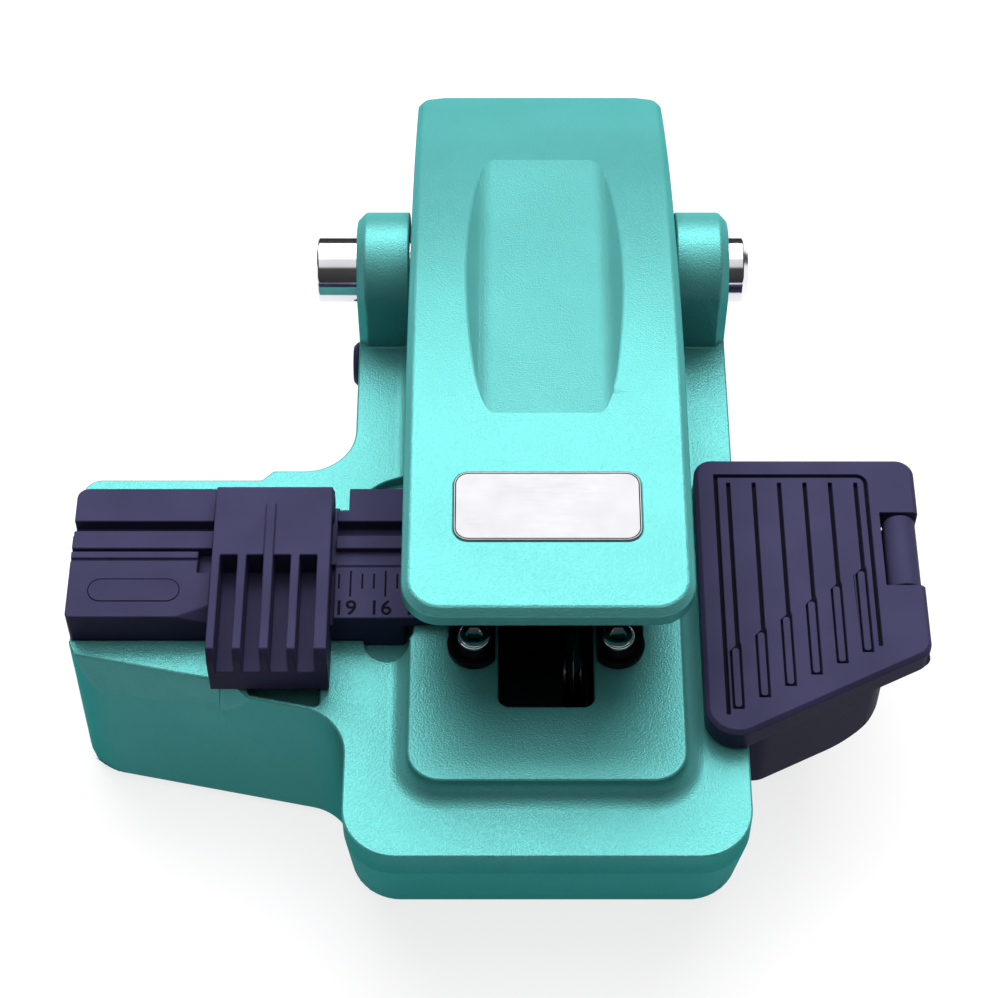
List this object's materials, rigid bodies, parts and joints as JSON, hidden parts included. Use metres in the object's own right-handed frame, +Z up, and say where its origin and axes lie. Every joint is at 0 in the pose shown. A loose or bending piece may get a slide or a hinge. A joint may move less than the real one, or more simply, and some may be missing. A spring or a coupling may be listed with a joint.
{
  "type": "optical fibre cleaver",
  "caption": "Bench tool that clamps an optical fibre under a hinged lid and scores it with a wheel blade on a sliding carriage, with an off-cut bin.",
  "frame": {"origin": "underside of the base pad, midway between the sides of the main block, 22.5 mm in front of the lid's hinge axis", "axes": "+X to the off-cut bin along the fibre, +Y to the rear, towards the lid's tail, +Z up from the surface it stands on"},
  "size_m": [0.074, 0.0819, 0.0333],
  "materials": {
    "anodised_teal": "satin bead-blasted teal anodising",
    "black_plastic": "moulded matt black",
    "rubber": "matt",
    "steel": "machined",
    "polished_steel": "polished",
    "black_anodised": "black anodised",
    "plate_silver": "satin silver, bare",
    "carbide": "ground carbide",
    "bronze": "sintered",
    "magnet": "plated",
    "spring_wire": "spring wire",
    "clamp_rubber": "smooth"
  },
  "bodies": {
    "root": {"body": "anodised_teal", "bottom_cover": "black_anodised", "cover_screws": "steel", "base_pad": "rubber", "arm_foot": "rubber", "hinge_shaft": "polished_steel", "shaft_set_screws": "steel", "lower_jaws": "black_anodised", "lower_pads": "clamp_rubber", "jaw_screws": "polished_steel", "guide_rods": "steel", "travel_bumpers": "rubber", "adapter_plate": "black_plastic", "adapter_screw": "steel", "adapter_dowel": "steel", "plate_magnet": "magnet", "clamp_pin": "steel", "bin_body": "black_plastic", "bin_screws": "steel", "bin_pin": "steel", "button_guide": "steel", "button_spring": "spring_wire"},
    "lid": {"lid": "anodised_teal", "lid_bushes": "bronze", "nameplate": "plate_silver", "pad_guide_screws": "steel", "pad_springs": "spring_wire", "anvil_holder": "black_anodised", "anvil_pad": "clamp_rubber"},
    "upper_clamp": {"upper_pad_block": "black_anodised", "upper_pads": "clamp_rubber"},
    "carriage": {"carriage": "black_anodised", "carriage_bushes": "bronze", "blade_axle": "steel"},
    "blade": {"blade_wheel": "carbide", "blade_hub": "steel"},
    "fibre_clamp": {"clamp_lid": "black_plastic", "clamp_pad": "clamp_rubber", "clamp_magnet": "magnet"},
    "bin_cover": {"bin_lid": "black_plastic"},
    "button": {"side_button": "black_plastic"}
  },
  "joints": [
    {"name": "lid_hinge", "type": "hinge", "parent": "root", "child": "lid", "pos_m": [0, 0.0225, 0.0223], "axis": [-1, 0, 0], "range_deg": [0, 45]},
    {"name": "pad_block_spring", "type": "slide", "parent": "lid", "child": "upper_clamp", "axis": [0, 0, 1], "range_m": [0, 0.0008], "stiffness_N_per_m": 300, "springref_m": -0.004, "deforming": ["pad_springs"]},
    {"name": "carriage_slide", "type": "slide", "parent": "root", "child": "carriage", "axis": [0, 1, 0], "range_m": [0, 0.015]},
    {"name": "blade_spin", "type": "hinge", "parent": "carriage", "child": "blade", "pos_m": [0.0023, -0.0152, 0.01224], "axis": [1, 0, 0], "continuous": true},
    {"name": "fibre_clamp_hinge", "type": "hinge", "parent": "root", "child": "fibre_clamp", "pos_m": [-0.0235, -0.0031, 0.0204], "axis": [-1, 0, 0], "range_deg": [0, 100]},
    {"name": "bin_lid_hinge", "type": "hinge", "parent": "root", "child": "bin_cover", "pos_m": [0.0312, -0.0072, 0.01845], "axis": [0, 1, 0], "range_deg": [0, 100]},
    {"name": "button_press", "type": "slide", "parent": "root", "child": "button", "axis": [1, 0, 0], "range_m": [0, 0.0005], "stiffness_N_per_m": 200, "springref_m": -0.002, "deforming": ["button_spring"]}
  ]
}
